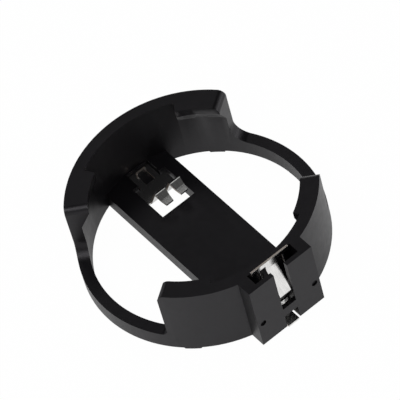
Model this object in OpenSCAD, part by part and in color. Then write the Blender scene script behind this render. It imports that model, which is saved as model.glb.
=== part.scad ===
// Ring holder for a thick coin cell, to be soldered on top of a board.
// The cell drops in from above, between a high rear wall and two high front walls.
// z = 0 is the board, the origin is on the cell's axis, and the blocks face -Y.

/* [Cell] */
// Diameter of the cell
cell_d = 24.5; // [20:0.5:30]
// Thickness of the cell
cell_t = 5; // [4:0.1:7.7]
// Gap all round between the cell and the ring
cell_gap = 0.2; // [0.1:0.05:0.5]

/* [Ring] */
// Radial thickness of the ring
ring_wall = 1.35; // [1.1:0.05:2]
// Height of the ring at its open sides
rail_h = 2.05; // [1.9:0.05:3]
// Number of steps round the ring at which a foot may stand
foot_steps = 8; // [8:4:12]
// Height of the feet, which lift the ring off the board
foot_h = 0.35; // [0.2:0.05:0.6]
// How far the feet stay back from the ring's inner and outer faces
foot_inset = 0.1; // [0.05:0.05:0.3]
// Width of each foot along the ring
foot_w = 1.7; // [1:0.1:2.5]

/* [Bar] */
// Width of the bar that the cell sits on
bar_w = 8.5; // [7.5:0.1:11]
// Thickness of the bar
bar_t = 1.8; // [1.5:0.05:1.85]

/* [Walls] */
// Rise of the walls above a seated cell
wall_rise = 2.35; // [2:0.05:3.5]
// Angle from the front or rear to the end of each high wall
wall_angle = 54.7; // [50:0.1:62]
// Rounding of the top corners at the wall ends
corner_r = 0.9; // [0.3:0.1:1.4]
// Fillet between a rear wall end and the low ring
rear_fillet = 1.9; // [0.5:0.1:3]
// Fillet between a front wall end and the low ring
front_fillet = 0.8; // [0.3:0.1:2]

/* [Lips] */
// Reach of the rear lips over the cell
rear_lip = 1.05; // [0.5:0.05:1.5]
// Reach of the front lips over the cell
front_lip = 0.55; // [0.3:0.05:0.9]
// Thickness of the lips at their inner edge
lip_edge = 0.95; // [0.6:0.05:1.3]
// Slope of the lips' underside from upright
lip_slope = 30; // [20:1:40]
// Angle from the rear at which the rear lips start
rear_lip_start = 30; // [22:1:38]
// Angle from the front at which the front lips start
front_lip_start = 29.5; // [26:0.5:38]

/* [Blocks] */
// How far the blocks stand out in front of the ring
block_out = 1.2; // [1:0.1:2.5]
// Width of the slot between the blocks
slot_w = 1.8; // [1.6:0.1:2.4]
// Thickness of the blocks' front wall
front_wall = 0.55; // [0.4:0.05:0.8]
// Width of the pocket behind the front wall
pocket_w = 5.8; // [5.4:0.1:6.4]
// Depth of the pocket below the top of the blocks
pocket_depth = 3.2; // [2.4:0.1:4]
// Height above the board at which the bridge across the slot starts
bridge_z = 2.1; // [1.2:0.1:2.5]
// Height of the bridge
bridge_h = 1.25; // [0.6:0.05:1.4]
// Diameter of the two shallow pits in the front faces
pit_d = 0.75; // [0.4:0.05:1.2]

/* [Contacts] */
// Thickness of the contacts' sheet metal
sheet = 0.25; // [0.2:0.05:0.3]
// Bend radius on the middle of the sheet
bend_r = 0.3; // [0.25:0.05:0.4]
// Gap between a contact and the housing, on each side
contact_gap = 0.15; // [0.1:0.05:0.2]

/* [Positive contact] */
// Width of the head
head_w = 5; // [4:0.1:5]
// Height of the head
head_h = 0.55; // [0.4:0.05:0.8]
// Rise of the head above the blocks
head_rise = 0.45; // [0.1:0.05:1]
// Length of the two legs under the head
leg_l = 1.45; // [0.8:0.05:1.8]
// Distance between the two legs
leg_pitch = 3.3; // [3:0.1:3.6]
// How far the nose reaches into the cell's space
nose_in = 0.3; // [0:0.05:0.6]

/* [Negative contact] */
// Offset of the contact and its window from the middle of the bar
contact_x = 0.5; // [0:0.1:0.8]
// Width of the window in the bar
window_w = 4.45; // [4.2:0.05:5.5]
// Distance from the cell's axis to the front of the window
window_y = 4.85; // [3:0.05:6]
// Length of the wide part of the window
window_l = 5.3; // [4.8:0.1:6]
// Width of the contact where it leaves the window
tail_w = 2.7; // [2:0.1:3.4]
// Width of each finger
finger_w = 1.42; // [1:0.02:1.6]
// Gap between the fingers
finger_split = 0.62; // [0.4:0.02:1]
// Height of the fingers above the bar
finger_rise = 2.35; // [1.5:0.05:3]
// Size of the square hole in the contact
hole_w = 1.2; // [0.8:0.1:1.6]

/* [Hidden] */

$fn = 96;
over = 0.4;                                  // how far a cut runs past a face
ease = 0.01;                                 // how far a rounding runs past the faces that it joins
cell_r = cell_d / 2;
well_r = cell_r + cell_gap;                  // inside of the ring
ring_r = well_r + ring_wall;                 // outside of the ring
mid_r = (well_r + ring_r) / 2;
seat_z = foot_h + bar_t;                     // top of the bar
top_z = seat_z + cell_t + wall_rise;         // top of the walls
rail_z = foot_h + rail_h;
block_y = -(ring_r + block_out);             // front face of the blocks
pocket_front = block_y + front_wall;         // front of the pocket
pocket_back = -(well_r + 0.55);              // back of the pocket
shelf_y = -(well_r + 0.75);                  // back of the opening under the contact
near_r = ring_r / 2;                         // well inside the ring, where radial cutters start
end_angle = 90 - wall_angle;                 // wall end, from the X axis
foot_angles = [for (k = [0 : foot_steps - 1]) let (a = k * 360 / foot_steps) if (abs(cos(a)) > 0.6) a];

// Wedge of space between angles a and b, from height z up, that stays off the ring's axis
module wedge(a, b, z = -over) {
    far = 2 * ring_r;
    m = (a + b) / 2;
    translate([0, 0, z]) linear_extrude(top_z + over - z) polygon([
        near_r * [cos(a), sin(a)], far * [cos(a), sin(a)], 2 * far * [cos(m), sin(m)],
        far * [cos(b), sin(b)], near_r * [cos(b), sin(b)]
    ]);
}

// Tube on the ring's axis
module tube(r_in, r_out, z0, z1) {
    difference() {
        translate([0, 0, z0]) cylinder(r = r_out, h = z1 - z0);
        translate([0, 0, z0 - over]) cylinder(r = r_in, h = z1 - z0 + 2 * over);
    }
}

// What a concave fillet of radius r leaves standing at the foot of a wall end at angle a
module end_fillet(a, r) {
    rotate(a) difference() {
        translate([near_r, -r, rail_z - over]) cube([ring_r, r + over, r + over]);
        translate([near_r - over, -r, rail_z + r]) rotate([0, 90, 0]) cylinder(r = r + ease, h = ring_r + 2 * over);
    }
}

// What is taken off the top corner of a wall end at angle a
module corner_cut(a) {
    rotate(a) difference() {
        translate([near_r, -over, top_z - corner_r]) cube([ring_r, corner_r + over, corner_r + over]);
        translate([near_r - over, corner_r, top_z - corner_r]) rotate([0, 90, 0])
            cylinder(r = corner_r + ease, h = ring_r + 2 * over);
    }
}

// Things that come in a left and a right
module both_sides() {
    children();
    mirror([1, 0, 0]) children();
}

// Things at the rear, turned round to the front
module at_front() {
    mirror([0, 1, 0]) children();
}

// Open side of the ring at the right, down to the low ring
module side_opening() {
    difference() {
        wedge(-end_angle, end_angle, rail_z);
        end_fillet(end_angle, rear_fillet);
        at_front() end_fillet(end_angle, front_fillet);
    }
    corner_cut(end_angle);
    at_front() corner_cut(end_angle);
}

// Lip that reaches over the cell between two angles, with a sloping underside
module lip(reach, a, b) {
    drop = (mid_r - cell_r + reach) / tan(lip_slope);
    intersection() {
        rotate_extrude() polygon([
            [cell_r - reach, top_z], [cell_r - reach, top_z - lip_edge],
            [mid_r, top_z - lip_edge - drop], [mid_r, top_z]
        ]);
        wedge(a, b);
    }
}

module foot() {
    intersection() {
        tube(well_r + foot_inset, ring_r - foot_inset, 0, foot_h + over);
        rotate([90, 0, 90]) linear_extrude(ring_r + over) polygon([
            [-foot_w / 2, 0], [foot_w / 2, 0], [foot_w / 2 + foot_h / 2, foot_h],
            [foot_w / 2 + foot_h / 2, foot_h + over], [-foot_w / 2 - foot_h / 2, foot_h + over],
            [-foot_w / 2 - foot_h / 2, foot_h]
        ]);
    }
}

module ring() {
    into = 4;                                // how far a lip runs into the side opening, in degrees
    difference() {
        union() {
            tube(well_r, ring_r, foot_h, top_z);
            both_sides() lip(rear_lip, end_angle - into, 90 - rear_lip_start);
            at_front() both_sides() lip(front_lip, end_angle - into, 90 - front_lip_start);
        }
        both_sides() side_opening();
    }
}

module bar() {
    intersection() {
        translate([-bar_w / 2, -mid_r, foot_h]) cube([bar_w, 2 * mid_r, bar_t]);
        cylinder(r = mid_r, h = top_z);
    }
}

// Solid of both blocks, before the slot and the pocket
module blocks() {
    intersection() {
        translate([-bar_w / 2, block_y, foot_h]) cube([bar_w, -block_y, top_z - foot_h]);
        difference() {
            translate([0, 0, -over]) cylinder(r = 2 * ring_r, h = top_z + 2 * over);
            translate([0, 0, -2 * over]) cylinder(r = well_r, h = top_z + 4 * over);
        }
    }
}

// Room for the positive contact: slot, pocket, and the way out under the bridge
module front_room() {
    difference() {
        translate([-slot_w / 2, block_y - over, -over]) cube([slot_w, shelf_y - block_y + over, top_z + 2 * over]);
        translate([-slot_w, block_y - 2 * over, bridge_z]) cube([2 * slot_w, front_wall + 2 * over, bridge_h]);
    }
    translate([-slot_w / 2, pocket_front, seat_z]) cube([slot_w, -pocket_front - cell_r / 2, top_z]);
    translate([-pocket_w / 2, pocket_front, top_z - pocket_depth])
        cube([pocket_w, pocket_back - pocket_front, pocket_depth + over]);
}

// Window through the bar, with the shallow part in which the tail of the contact lies
module window() {
    tail_room = tail_w + 2 * contact_gap;
    tail_floor = plate_z - sheet / 2 - 0.05;
    translate([contact_x - window_w / 2, window_y, 0]) cube([window_w, window_l, seat_z + over]);
    translate([contact_x - tail_room / 2, window_y, tail_floor])
        cube([tail_room, well_r - window_y - 0.15, seat_z + over]);
    translate([contact_x - tail_room / 2, window_y, tail_floor])
        cube([tail_room, ring_r - window_y + over, sheet + 0.1]);
}

module housing() {
    color([0.09, 0.09, 0.1]) difference() {
        union() {
            ring();
            for (a = foot_angles) rotate(a) foot();
            bar();
            blocks();
        }
        front_room();
        window();
        for (s = [-1, 1]) translate([s * (bar_w / 2 - 0.7), block_y - over, foot_h + 3.3])
            rotate([-90, 0, 0]) cylinder(d = pit_d, h = over + 0.2);
    }
}

// Outline of a bent strip: each sample is a point on the middle line and its left normal
function unit(v) = v / norm(v);
function left(v) = [-v[1], v[0]];
function spin(v, a) = [v[0] * cos(a) - v[1] * sin(a), v[0] * sin(a) + v[1] * cos(a)];
function turn(a, b) = atan2(a[0] * b[1] - a[1] * b[0], a * b);
function bend(p, a, b, r, n = 6) = let (
    th = turn(a, b), s = sign(th), start = p - a * r * tan(abs(th) / 2), c = start + s * r * left(a)
) [for (k = [0 : n]) let (m = spin(left(a), th * k / n)) [c - s * r * m, m]];
function samples(path, r) = [for (i = [0 : len(path) - 1]) each
    i == 0 ? [[path[0], left(unit(path[1] - path[0]))]] :
    i == len(path) - 1 ? [[path[i], left(unit(path[i] - path[i - 1]))]] :
    bend(path[i], unit(path[i] - path[i - 1]), unit(path[i + 1] - path[i]), r)];
function strip_outline(path, r) = let (s = samples(path, r), n = len(s)) concat(
    [for (k = [0 : n - 1]) s[k][0] + s[k][1] * sheet / 2],
    [for (k = [n - 1 : -1 : 0]) s[k][0] - s[k][1] * sheet / 2]
);

// Sheet metal strip of the given width, bent along a path of [y, z] points
module strip(path, width, r = bend_r) {
    rotate([90, 0, 90]) translate([0, 0, -width / 2]) linear_extrude(width) polygon(strip_outline(path, r));
}

head_y = pocket_back - contact_gap - sheet / 2;          // middle of the head's sheet
head_z = top_z + head_rise;
stem_w = slot_w - 2 * contact_gap;
tab_z = sheet / 2;
riser_y = shelf_y - contact_gap - sheet / 2;
knee_z = bridge_z + bridge_h + 1.7;                      // where the stem turns up in the slot
knee_y = block_y + 0.1 + sheet / 2;
nose_z = seat_z + 0.4 * cell_t;

module positive_contact() {
    color([0.82, 0.81, 0.8]) {
        strip([
            [block_y, tab_z], [riser_y, tab_z], [riser_y, seat_z + 0.5],
            [-(cell_r - nose_in) - sheet / 2, nose_z], [knee_y, knee_z],
            [head_y, top_z - 0.7], [head_y, head_z]
        ], stem_w);
        translate([-head_w / 2, head_y - sheet / 2, head_z - head_h]) cube([head_w, sheet, head_h]);
        for (s = [-1, 1]) translate([s * leg_pitch / 2, 0, 0])
            strip([[head_y, head_z - head_h / 2], [head_y, head_z - head_h - 0.2],
                [head_y - 0.25, head_z - head_h - leg_l]], sheet);
    }
}

plate_z = seat_z - 0.55 - sheet / 2;                     // middle of the plate's sheet
plate_w = window_w - 2 * contact_gap;
plate_y = window_y + window_l - 2.4;                     // front edge of the plate
crest_z = seat_z + finger_rise - sheet / 2;
crest_y = window_y + 1.35;
tail_y = ring_r + contact_gap + sheet / 2;

// Side profile of a finger: up from the plate, over the crest and down to the tip
function finger_path() = [
    [plate_y + 0.4, plate_z], [plate_y, plate_z], [crest_y + 0.1, crest_z],
    [crest_y - 0.75, crest_z - 0.5], [crest_y - 1.6, crest_z - 0.6]
];

// Plan of both fingers, which narrow towards their tips
module finger_plan() {
    tip_y = crest_y - 2;
    inner = finger_split / 2;
    outer = inner + finger_w;
    both_sides() polygon([
        [inner, plate_y + 0.5], [inner, crest_y], [inner + 0.3, tip_y],
        [outer - 0.3, tip_y], [outer, crest_y], [outer, plate_y + 0.5]
    ]);
}

module negative_contact() {
    color([0.82, 0.81, 0.8]) translate([contact_x, 0, 0]) {
        intersection() {
            strip(finger_path(), plate_w);
            linear_extrude(top_z) finger_plan();
        }
        difference() {
            union() {
                translate([-plate_w / 2, plate_y, plate_z - sheet / 2])
                    cube([plate_w, window_y + window_l - contact_gap - plate_y, sheet]);
                strip([[plate_y + 1, plate_z], [tail_y, plate_z], [tail_y, tab_z], [-block_y, tab_z]], tail_w);
            }
            translate([-hole_w / 2 + 0.1, window_y + window_l - 0.1, plate_z - sheet])
                cube([hole_w, 1.55, 2 * sheet]);
        }
        translate([-hole_w / 2 + 0.1, window_y + window_l + 1.45, plate_z])
            cube([hole_w, sheet, 0.6]);
    }
}

housing();
positive_contact();
negative_contact();
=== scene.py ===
# Open ring holder for a thick coin cell: moulded body, plated spring contacts, studio
import math

import bmesh
import bpy
from mathutils import Matrix, Vector


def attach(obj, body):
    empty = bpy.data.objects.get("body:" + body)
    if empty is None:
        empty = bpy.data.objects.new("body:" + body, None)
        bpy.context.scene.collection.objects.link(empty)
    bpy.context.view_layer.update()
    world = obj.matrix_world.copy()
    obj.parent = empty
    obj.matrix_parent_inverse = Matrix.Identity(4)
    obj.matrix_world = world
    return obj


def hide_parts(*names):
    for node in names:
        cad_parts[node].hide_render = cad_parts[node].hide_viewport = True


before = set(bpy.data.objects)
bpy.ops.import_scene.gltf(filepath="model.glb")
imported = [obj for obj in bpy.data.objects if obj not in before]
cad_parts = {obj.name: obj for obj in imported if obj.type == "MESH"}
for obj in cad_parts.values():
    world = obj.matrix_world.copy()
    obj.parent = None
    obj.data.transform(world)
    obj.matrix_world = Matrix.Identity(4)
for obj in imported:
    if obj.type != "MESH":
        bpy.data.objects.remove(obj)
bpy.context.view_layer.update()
mm = 0.001
print("frame loaded:", sorted(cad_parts))


def newTree(name):
    mat = bpy.data.materials.new(name)
    mat.use_nodes = True
    tree = mat.node_tree
    tree.nodes.clear()
    return mat, tree


def addNode(tree, kind, **values):
    node = tree.nodes.new(kind)
    for key, value in values.items():
        setattr(node, key, value)
    return node


def addNoise(tree, coords, scale, detail=3.0, rough=0.5):
    noise = addNode(tree, "ShaderNodeTexNoise")
    noise.inputs["Scale"].default_value = scale
    noise.inputs["Detail"].default_value = detail
    noise.inputs["Roughness"].default_value = rough
    tree.links.new(coords, noise.inputs["Vector"])
    return noise.outputs["Fac"]


def addRamp(tree, value, stops):
    ramp = addNode(tree, "ShaderNodeValToRGB")
    while len(ramp.color_ramp.elements) < len(stops):
        ramp.color_ramp.elements.new(0.5)
    for element, (place, shade) in zip(ramp.color_ramp.elements, stops):
        element.position = place
        element.color = (*shade, 1)
    tree.links.new(value, ramp.inputs["Fac"])
    return ramp.outputs["Color"]


def addMath(tree, kind, a, b=None):
    node = addNode(tree, "ShaderNodeMath", operation=kind)
    for socket, value in zip(node.inputs, (a, b)):
        if isinstance(value, (int, float)):
            socket.default_value = value
        elif value is not None:
            tree.links.new(value, socket)
    return node.outputs["Value"]


def addBump(tree, height, strength, distance, shader):
    bump = addNode(tree, "ShaderNodeBump")
    bump.inputs["Strength"].default_value = strength
    bump.inputs["Distance"].default_value = distance
    tree.links.new(height, bump.inputs["Height"])
    tree.links.new(bump.outputs["Normal"], shader.inputs["Normal"])


def addRange(tree, value, low, high):
    node = addNode(tree, "ShaderNodeMapRange")
    node.inputs["To Min"].default_value = low
    node.inputs["To Max"].default_value = high
    tree.links.new(value, node.inputs["Value"])
    return node.outputs["Result"]


plastic = {
    "colour": (0.0020, 0.0018, 0.0023),
    "worn": (0.0042, 0.0038, 0.0047),   # where handling has polished it
    "rough": (0.31, 0.45),
    "ior": 1.5, "specular": 0.35,
    "sheen": (0.97, 0.94, 1.0),         # faint violet cast of the reflections
    "cloudScale": 260, "flowScale": 1400,
    "wornFrom": 0.35, "wornTo": 0.75,   # range of the clouds over which it turns worn
    "grainScale": 9000,                 # fine spark-eroded grain, per metre
    "grainHeight": 0.006 * mm, "grainStrength": 0.35,
}
plating = {
    "light": (0.93, 0.925, 0.91),
    "dark": (0.76, 0.755, 0.745),
    "rough": (0.12, 0.26),
    "streakScale": 900,
}
bronze = {
    "light": (0.86, 0.79, 0.72),
    "dark": (0.56, 0.46, 0.39),
    "rough": (0.34, 0.5),
    "streakScale": 2500,
}
rolled = {
    "squash": (6, 1, 1),                # rolling marks run along the strip
    "darkFrom": 0.3, "lightTo": 0.65,
    "markHeight": 0.004 * mm, "markStrength": 0.25,
}


def mouldedPlastic():
    mat, tree = newTree("satinBlackPlastic")
    out = addNode(tree, "ShaderNodeOutputMaterial")
    shader = addNode(tree, "ShaderNodeBsdfPrincipled")
    coords = addNode(tree, "ShaderNodeTexCoord").outputs["Object"]
    clouds = addNoise(tree, coords, plastic["cloudScale"], 4)
    stops = [(plastic["wornFrom"], plastic["colour"]), (plastic["wornTo"], plastic["worn"])]
    tree.links.new(addRamp(tree, clouds, stops), shader.inputs["Base Color"])
    flow = addNoise(tree, coords, plastic["flowScale"], 3)
    tree.links.new(addRange(tree, flow, *plastic["rough"]), shader.inputs["Roughness"])
    shader.inputs["IOR"].default_value = plastic["ior"]
    shader.inputs["Specular IOR Level"].default_value = plastic["specular"]
    shader.inputs["Specular Tint"].default_value = (*plastic["sheen"], 1)
    grain = addNoise(tree, coords, plastic["grainScale"], 2)
    addBump(tree, grain, plastic["grainStrength"], plastic["grainHeight"], shader)
    tree.links.new(shader.outputs["BSDF"], out.inputs["Surface"])
    return mat


def sheetMetal(name, metal):
    mat, tree = newTree(name)
    out = addNode(tree, "ShaderNodeOutputMaterial")
    shader = addNode(tree, "ShaderNodeBsdfPrincipled")
    coords = addNode(tree, "ShaderNodeTexCoord").outputs["Object"]
    squash = addNode(tree, "ShaderNodeMapping")
    squash.inputs["Scale"].default_value = rolled["squash"]
    tree.links.new(coords, squash.inputs["Vector"])
    marks = addNoise(tree, squash.outputs["Vector"], metal["streakScale"], 4, 0.6)
    stops = [(rolled["darkFrom"], metal["dark"]), (rolled["lightTo"], metal["light"])]
    tree.links.new(addRamp(tree, marks, stops), shader.inputs["Base Color"])
    smooth, matte = metal["rough"]
    tree.links.new(addRange(tree, marks, matte, smooth), shader.inputs["Roughness"])
    shader.inputs["Metallic"].default_value = 1.0
    addBump(tree, marks, rolled["markStrength"], rolled["markHeight"], shader)
    tree.links.new(shader.outputs["BSDF"], out.inputs["Surface"])
    return mat


blackPlastic = mouldedPlastic()
tinPlating = sheetMetal("brightTinPlating", plating)
cutBronze = sheetMetal("bareBronzeEdge", bronze)
print("finishes made")


mend = {
    "weld": 0.0005 * mm,                # corners nearer than this are one corner
    "flat": math.radians(0.6),          # faces that turn less than this are one face
    "crease": math.radians(28),         # edges that turn more than this stay sharp
}


def mergedCopy(nodeName, pieceName, cutBelow=None):
    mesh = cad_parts[nodeName].data.copy()
    mesh.name = pieceName
    mesh.materials.clear()
    work = bmesh.new()
    work.from_mesh(mesh)
    bmesh.ops.remove_doubles(work, verts=work.verts, dist=mend["weld"])
    bmesh.ops.dissolve_degenerate(work, edges=work.edges, dist=mend["weld"])
    if cutBelow is not None:              # what stands lower is made as a piece of its own
        bmesh.ops.bisect_plane(work, geom=work.verts[:] + work.edges[:] + work.faces[:], dist=1e-9,
                               plane_co=(0, 0, cutBelow), plane_no=(0, 0, 1), clear_inner=True)
        bmesh.ops.holes_fill(work, edges=[e for e in work.edges if e.is_boundary], sides=0)
        bmesh.ops.recalc_face_normals(work, faces=work.faces)
    bmesh.ops.dissolve_limit(work, angle_limit=mend["flat"], verts=work.verts, edges=work.edges)
    work.to_mesh(mesh)
    work.free()
    mesh.validate()
    piece = bpy.data.objects.new(pieceName, mesh)
    bpy.context.scene.collection.objects.link(piece)
    return piece


def bakeModifiers(piece):
    bpy.context.view_layer.update()
    done = bpy.data.meshes.new_from_object(piece.evaluated_get(bpy.context.evaluated_depsgraph_get()))
    done.name = piece.name
    piece.modifiers.clear()
    piece.data = done


def softenEdges(piece, width, segments, sharpDegrees):
    bevel = piece.modifiers.new("softened edges", "BEVEL")
    bevel.width = width
    bevel.segments = segments
    bevel.limit_method = "ANGLE"
    bevel.angle_limit = math.radians(sharpDegrees)
    bevel.harden_normals = True
    bevel.miter_outer = "MITER_SHARP"
    bevel.use_clamp_overlap = True
    for face in piece.data.polygons:
        face.use_smooth = True
    piece.data.set_sharp_from_angle(angle=mend["crease"])
    even = piece.modifiers.new("even shading", "WEIGHTED_NORMAL")   # keeps the flat faces flat
    even.mode = "FACE_AREA"
    even.weight = 100
    even.keep_sharp = True
    bakeModifiers(piece)


def finishPiece(piece, node):
    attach(piece, "root")
    if node:
        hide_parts(node)
    print(piece.name, len(piece.data.polygons), "faces")


body = {"edgeWidth": 0.09 * mm, "segments": 2, "sharp": 32, "feetTop": 0.3495 * mm}
housingPiece = mergedCopy("housing", "mouldedHousing", cutBelow=body["feetTop"])
softenEdges(housingPiece, body["edgeWidth"], body["segments"], body["sharp"])
housingPiece.data.materials.append(blackPlastic)
finishPiece(housingPiece, "housing")

feet = {
    "steps": 8,                 # places round the ring at which a foot may stand
    "keep": 0.6,                # only where the ring runs this much to the sides
    "radius": 13.125 * mm, "depth": 1.15 * mm,
    "width": 1.7 * mm, "flare": 1.0,        # width at the board, and how fast it widens upwards
    "height": 0.35 * mm, "intoRing": 0.1 * mm,
    "edgeWidth": 0.05 * mm, "segments": 2, "sharp": 32,
    "slices": 7,                # corners along a foot, so that it follows the ring
}


def feetTree(material):
    tree = bpy.data.node_groups.new("feetRoundRing", "GeometryNodeTree")
    tree.interface.new_socket("Geometry", in_out="OUTPUT", socket_type="NodeSocketGeometry")
    ids = {}
    for name in ("Steps", "Keep", "Radius", "Depth", "Width", "Flare", "Height"):
        kind = "NodeSocketInt" if name == "Steps" else "NodeSocketFloat"
        ids[name] = tree.interface.new_socket(name, in_out="INPUT", socket_type=kind).identifier
    given = addNode(tree, "NodeGroupInput").outputs
    link = tree.links.new

    def calc(kind, a, b=None):
        return addMath(tree, kind, a, b)

    # one foot: a unit-wide block that is flared, bent round the ring and set on the board
    size = addNode(tree, "ShaderNodeCombineXYZ")
    link(given["Depth"], size.inputs["X"])
    size.inputs["Y"].default_value = 1
    link(given["Height"], size.inputs["Z"])
    block = addNode(tree, "GeometryNodeMeshCube")
    link(size.outputs[0], block.inputs["Size"])
    block.inputs["Vertices Y"].default_value = feet["slices"]
    where = addNode(tree, "ShaderNodeSeparateXYZ")
    link(addNode(tree, "GeometryNodeInputPosition").outputs[0], where.inputs[0])
    x, y, z = where.outputs
    up = calc("ADD", z, calc("MULTIPLY", given["Height"], 0.5))
    wide = calc("MULTIPLY", y, calc("ADD", given["Width"], calc("MULTIPLY", given["Flare"], up)))
    angle = calc("DIVIDE", wide, given["Radius"])
    out = calc("ADD", given["Radius"], x)
    bent = addNode(tree, "ShaderNodeCombineXYZ")
    link(calc("MULTIPLY", out, calc("COSINE", angle)), bent.inputs["X"])
    link(calc("MULTIPLY", out, calc("SINE", angle)), bent.inputs["Y"])
    link(up, bent.inputs["Z"])
    foot = addNode(tree, "GeometryNodeSetPosition")
    link(block.outputs["Mesh"], foot.inputs["Geometry"])
    link(bent.outputs[0], foot.inputs["Position"])

    # turned to each step, where the ring has a foot
    spots = addNode(tree, "GeometryNodePoints")
    link(given["Steps"], spots.inputs["Count"])
    index = addNode(tree, "GeometryNodeInputIndex").outputs[0]
    turn = calc("DIVIDE", calc("MULTIPLY", index, 2 * math.pi), given["Steps"])
    sideways = calc("ABSOLUTE", calc("COSINE", turn))
    spin = addNode(tree, "ShaderNodeCombineXYZ")
    link(turn, spin.inputs["Z"])
    copies = addNode(tree, "GeometryNodeInstanceOnPoints")
    link(spots.outputs[0], copies.inputs["Points"])
    link(foot.outputs[0], copies.inputs["Instance"])
    link(spin.outputs[0], copies.inputs["Rotation"])
    link(calc("GREATER_THAN", sideways, given["Keep"]), copies.inputs["Selection"])
    real = addNode(tree, "GeometryNodeRealizeInstances")
    link(copies.outputs[0], real.inputs[0])
    finish = addNode(tree, "GeometryNodeSetMaterial")
    finish.inputs["Material"].default_value = material
    link(real.outputs[0], finish.inputs["Geometry"])
    link(finish.outputs[0], addNode(tree, "NodeGroupOutput").inputs[0])
    return tree, ids


def makeFeet():
    piece = bpy.data.objects.new("ringFeet", bpy.data.meshes.new("ringFeet"))
    bpy.context.scene.collection.objects.link(piece)
    tree, ids = feetTree(blackPlastic)
    maker = piece.modifiers.new("feet", "NODES")
    maker.node_group = tree
    for name in ("Steps", "Keep", "Radius", "Depth", "Width", "Flare"):
        maker[ids[name]] = feet[name.lower()]
    maker[ids["Height"]] = feet["height"] + feet["intoRing"]
    bakeModifiers(piece)
    softenEdges(piece, feet["edgeWidth"], feet["segments"], feet["sharp"])
    finishPiece(piece, None)


makeFeet()


strip = {
    "edgeWidth": 0.025 * mm, "segments": 1, "sharp": 40,
    "facing": 0.9,              # how squarely a face looks sideways or up to count as sheared
}
# bareTop: corners, in mm, of the room that holds each contact's sheared top edge
frontContact = {
    "node": "positive_contact", "name": "frontSpringContact",
    "bareTop": ((-3, -14, 9.9), (3, -13, 10.1)),
}
baseContact = {
    "node": "negative_contact", "name": "fingerSpringContact",
    "bareTop": ((-0.5, 11.5, 2.0), (1.6, 12, 2.2)),
}


def stampedContact(contact):
    piece = mergedCopy(contact["node"], contact["name"])
    softenEdges(piece, strip["edgeWidth"], strip["segments"], strip["sharp"])
    piece.data.materials.append(tinPlating)
    piece.data.materials.append(cutBronze)
    low, high = (Vector(corner) * mm for corner in contact["bareTop"])
    for face in piece.data.polygons:      # the cut edges of the strip show bare metal
        inRoom = all(low[i] < face.center[i] < high[i] for i in range(3))
        onTop = face.normal.z > strip["facing"] and inRoom
        face.material_index = 1 if abs(face.normal.x) > strip["facing"] or onTop else 0
    finishPiece(piece, contact["node"])


stampedContact(frontContact)
stampedContact(baseContact)


def brightToCamera(name, colour, seenAs, inGloss):
    # plain pale surface that the lens and the reflections see as an even white
    mat, tree = newTree(name)
    out = addNode(tree, "ShaderNodeOutputMaterial")
    mix = addNode(tree, "ShaderNodeMixShader")
    shader = addNode(tree, "ShaderNodeBsdfPrincipled")
    shader.inputs["Base Color"].default_value = (*colour, 1)
    shader.inputs["Roughness"].default_value = studio["floorRough"]
    glow = addNode(tree, "ShaderNodeEmission")
    glow.inputs["Color"].default_value = (1, 1, 1, 1)
    glow.inputs["Strength"].default_value = 1.0
    path = addNode(tree, "ShaderNodeLightPath")
    dimmer = addMath(tree, "MULTIPLY", path.outputs["Is Glossy Ray"], inGloss)
    either = addMath(tree, "MAXIMUM", path.outputs["Is Camera Ray"], dimmer)
    tree.links.new(addMath(tree, "MULTIPLY", either, seenAs), mix.inputs["Fac"])
    tree.links.new(shader.outputs["BSDF"], mix.inputs[1])
    tree.links.new(glow.outputs["Emission"], mix.inputs[2])
    tree.links.new(mix.outputs["Shader"], out.inputs["Surface"])
    return mat


studio = {
    "floorSize": 1.2, "floorDrop": 0.02 * mm,
    "floorColour": (0.86, 0.86, 0.86), "floorRough": 0.85,
    "floorSeen": 0.985, "floorInGloss": 0.5,
    "world": 0.4,                       # even light from all round
    # what the lens and the reflections see level with the part, and overhead
    "backdrop": 1.0, "ceiling": 0.05,
    "fadeFrom": 0.12, "fadeTo": 0.36,   # heights between which the one turns into the other
    "lampsAimAt": (0, 0, 4 * mm),
}


def makeFloor():
    half = studio["floorSize"] / 2
    mesh = bpy.data.meshes.new("studioFloor")
    corners = [(-half, -half, 0), (half, -half, 0), (half, half, 0), (-half, half, 0)]
    mesh.from_pydata(corners, [], [(0, 1, 2, 3)])
    mesh.transform(Matrix.Translation((0, 0, -studio["floorDrop"])))
    floor = bpy.data.objects.new("studioFloor", mesh)
    bpy.context.scene.collection.objects.link(floor)
    mesh.materials.append(brightToCamera("paleFloor", studio["floorColour"], studio["floorSeen"],
                                         studio["floorInGloss"]))


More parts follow.
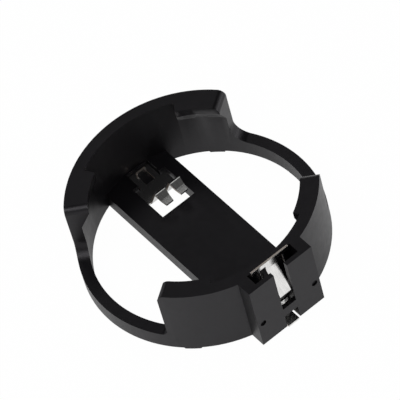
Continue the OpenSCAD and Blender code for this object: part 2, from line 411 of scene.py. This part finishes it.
def makeWorld():
    world = bpy.data.worlds.new("studioWorld")
    bpy.context.scene.world = world
    world.use_nodes = True
    tree = world.node_tree
    tree.nodes.clear()
    out = addNode(tree, "ShaderNodeOutputWorld")
    back = addNode(tree, "ShaderNodeBackground")
    back.inputs["Color"].default_value = (1, 1, 1, 1)
    path = addNode(tree, "ShaderNodeLightPath")
    either = addMath(tree, "MAXIMUM", path.outputs["Is Camera Ray"], path.outputs["Is Glossy Ray"])
    seen = addMath(tree, "MAXIMUM", either, path.outputs["Is Transmission Ray"])
    spot = addNode(tree, "ShaderNodeTexCoord").outputs["Generated"]
    parts = addNode(tree, "ShaderNodeSeparateXYZ")
    tree.links.new(spot, parts.inputs["Vector"])
    height = addNode(tree, "ShaderNodeMapRange", interpolation_type="SMOOTHSTEP")
    height.inputs["From Min"].default_value = studio["fadeFrom"]
    height.inputs["From Max"].default_value = studio["fadeTo"]
    height.inputs["To Min"].default_value = studio["backdrop"]
    height.inputs["To Max"].default_value = studio["ceiling"]
    tree.links.new(parts.outputs["Z"], height.inputs["Value"])
    choose = addNode(tree, "ShaderNodeMix")
    choose.inputs["A"].default_value = studio["world"]
    tree.links.new(seen, choose.inputs["Factor"])
    tree.links.new(height.outputs["Result"], choose.inputs["B"])
    tree.links.new(choose.outputs["Result"], back.inputs["Strength"])
    tree.links.new(back.outputs["Background"], out.inputs["Surface"])


lamps = [
    {"name": "keySoftbox", "at": (-0.16, -0.05, 0.22), "size": 0.16, "watts": 0.34},
    {"name": "rightSoftbox", "at": (0.20, -0.12, 0.10), "size": 0.14, "watts": 0.16},
    {"name": "rearStrip", "at": (-0.20, 0.20, 0.10), "size": 0.18, "watts": 0.14},
    {"name": "highSoftbox", "at": (0.095, 0.194, 0.275), "size": 0.12, "watts": 0.026},
]


def makeLamp(lamp):
    light = bpy.data.lights.new(lamp["name"], "AREA")
    light.shape = "SQUARE"
    light.size = lamp["size"]
    light.energy = lamp["watts"]
    holder = bpy.data.objects.new(lamp["name"], light)
    holder.location = lamp["at"]
    aim = Vector(studio["lampsAimAt"]) - holder.location
    holder.rotation_euler = aim.to_track_quat("-Z", "Y").to_euler()
    bpy.context.scene.collection.objects.link(holder)


shot = {
    "azimuth": -26.01, "elevation": 51.88, "roll": -16.52,   # degrees
    "distance": 418.4 * mm, "lookAt": (0, 0, 3.35 * mm),
    "focal": 3897, "centreX": 200.98, "centreY": 225.94, "frame": 400,
}


def makeCamera():
    a, e, r = (math.radians(shot[k]) for k in ("azimuth", "elevation", "roll"))
    back = Vector((math.sin(a) * math.cos(e), -math.cos(a) * math.cos(e), math.sin(e)))
    right = Vector((math.cos(a), math.sin(a), 0))
    up = back.cross(right)
    side = right * math.cos(r) + up * math.sin(r)
    top = -right * math.sin(r) + up * math.cos(r)
    cam = bpy.data.cameras.new("studioCamera")
    cam.sensor_width = 36
    cam.lens = shot["focal"] / shot["frame"] * cam.sensor_width
    cam.shift_x = -(shot["centreX"] - shot["frame"] / 2) / shot["frame"]
    cam.shift_y = (shot["centreY"] - shot["frame"] / 2) / shot["frame"]
    cam.clip_start = 0.01
    cam.clip_end = 20
    holder = bpy.data.objects.new("studioCamera", cam)
    place = Matrix((side, top, back)).transposed().to_4x4()
    place.translation = Vector(shot["lookAt"]) + back * shot["distance"]
    holder.matrix_world = place
    bpy.context.scene.collection.objects.link(holder)
    bpy.context.scene.camera = holder


makeFloor()
makeWorld()
for lamp in lamps:
    makeLamp(lamp)
makeCamera()
bpy.context.scene.view_settings.view_transform = "Standard"
print("studio made")

bpy.context.view_layer.update()
